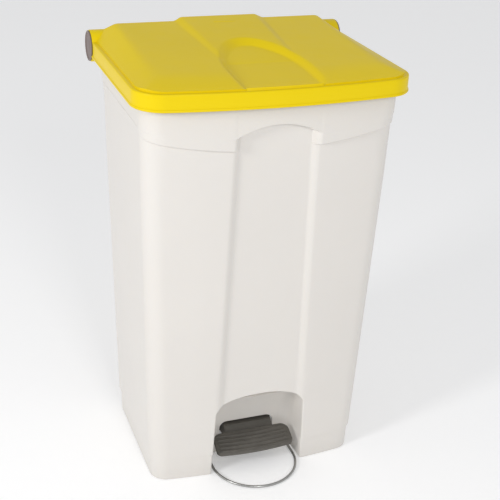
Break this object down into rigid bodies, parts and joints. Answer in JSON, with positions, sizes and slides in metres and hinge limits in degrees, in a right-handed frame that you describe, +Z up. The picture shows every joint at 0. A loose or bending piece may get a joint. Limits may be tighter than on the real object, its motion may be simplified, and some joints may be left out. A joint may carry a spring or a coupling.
{
  "type": "pedal bin",
  "caption": "Tall free-standing waste bin with a domed hinged lid that a foot pedal opens through a lever and a rod up its back.",
  "frame": {"origin": "centre of the whole part's footprint on the floor", "axes": "+X to the right seen from the front, -Y out of the front where the pedal is, +Z up"},
  "size_m": [0.506, 0.4289, 0.834],
  "materials": {
    "ivory_plastic": "fine-grained warm white injection moulding, satin",
    "yellow_plastic": "fine-grained yellow injection moulding, satin",
    "grey_plastic": "dark grey moulded plastic, semi-matt",
    "pin_plastic": "grey-brown moulded plastic, semi-matt",
    "bearing_plastic": "black moulded plastic, semi-matt",
    "bush_plastic": "natural low-friction plastic",
    "zinc_steel": "bright zinc-plated steel, softly brushed",
    "wire_steel": "drawn steel wire, plated",
    "screw_steel": "zinc-plated fastener steel",
    "rubber": "soft matt rubber"
  },
  "bodies": {
    "stand": {"tub_body": "ivory_plastic", "hinge_pin_right": "pin_plastic", "hinge_pin_left": "pin_plastic", "rod_guides": "bearing_plastic", "rod_channel_cover": "ivory_plastic", "cover_screws": "screw_steel", "pedal_axle": "zinc_steel", "axle_clips": "screw_steel", "pedal_bearing_right": "bearing_plastic", "pedal_bearing_left": "bearing_plastic", "bearing_screws": "screw_steel", "stabiliser_loop": "wire_steel", "loop_sockets": "bearing_plastic", "loop_screws": "screw_steel", "rubber_feet": "rubber", "rim_buffers": "rubber"},
    "lid": {"lid_cover": "yellow_plastic", "lid_lever": "zinc_steel", "lid_lever_screws": "screw_steel"},
    "pedal": {"pedal_tread": "grey_plastic", "pedal_arm": "grey_plastic", "pedal_lever": "zinc_steel", "lever_bolts": "screw_steel", "pedal_bushes": "bush_plastic"},
    "rod": {"lift_rod": "zinc_steel", "rod_clevis": "zinc_steel", "rod_cross_pin": "screw_steel", "cross_pin_clip": "screw_steel", "rod_collar": "zinc_steel", "rod_end_nut": "screw_steel"}
  },
  "joints": [
    {"name": "lid_open", "type": "hinge", "parent": "stand", "child": "lid", "pos_m": [0, 0.1848, 0.7828], "axis": [-1, 0, 0], "range_deg": [0, 75]},
    {"name": "pedal_press", "type": "hinge", "parent": "stand", "child": "pedal", "pos_m": [0, -0.025, 0.038], "axis": [1, 0, 0], "range_deg": [0, 13.8]},
    {"name": "rod_lift", "type": "slide", "parent": "stand", "child": "rod", "axis": [0, 0, 1], "range_m": [0, 0.0438]}
  ],
  "couplings": [
    {"joint": "pedal_press", "follows": "lid_open", "ratio": 0.1832},
    {"joint": "rod_lift", "follows": "lid_open", "m_per_rad": 0.033415}
  ]
}
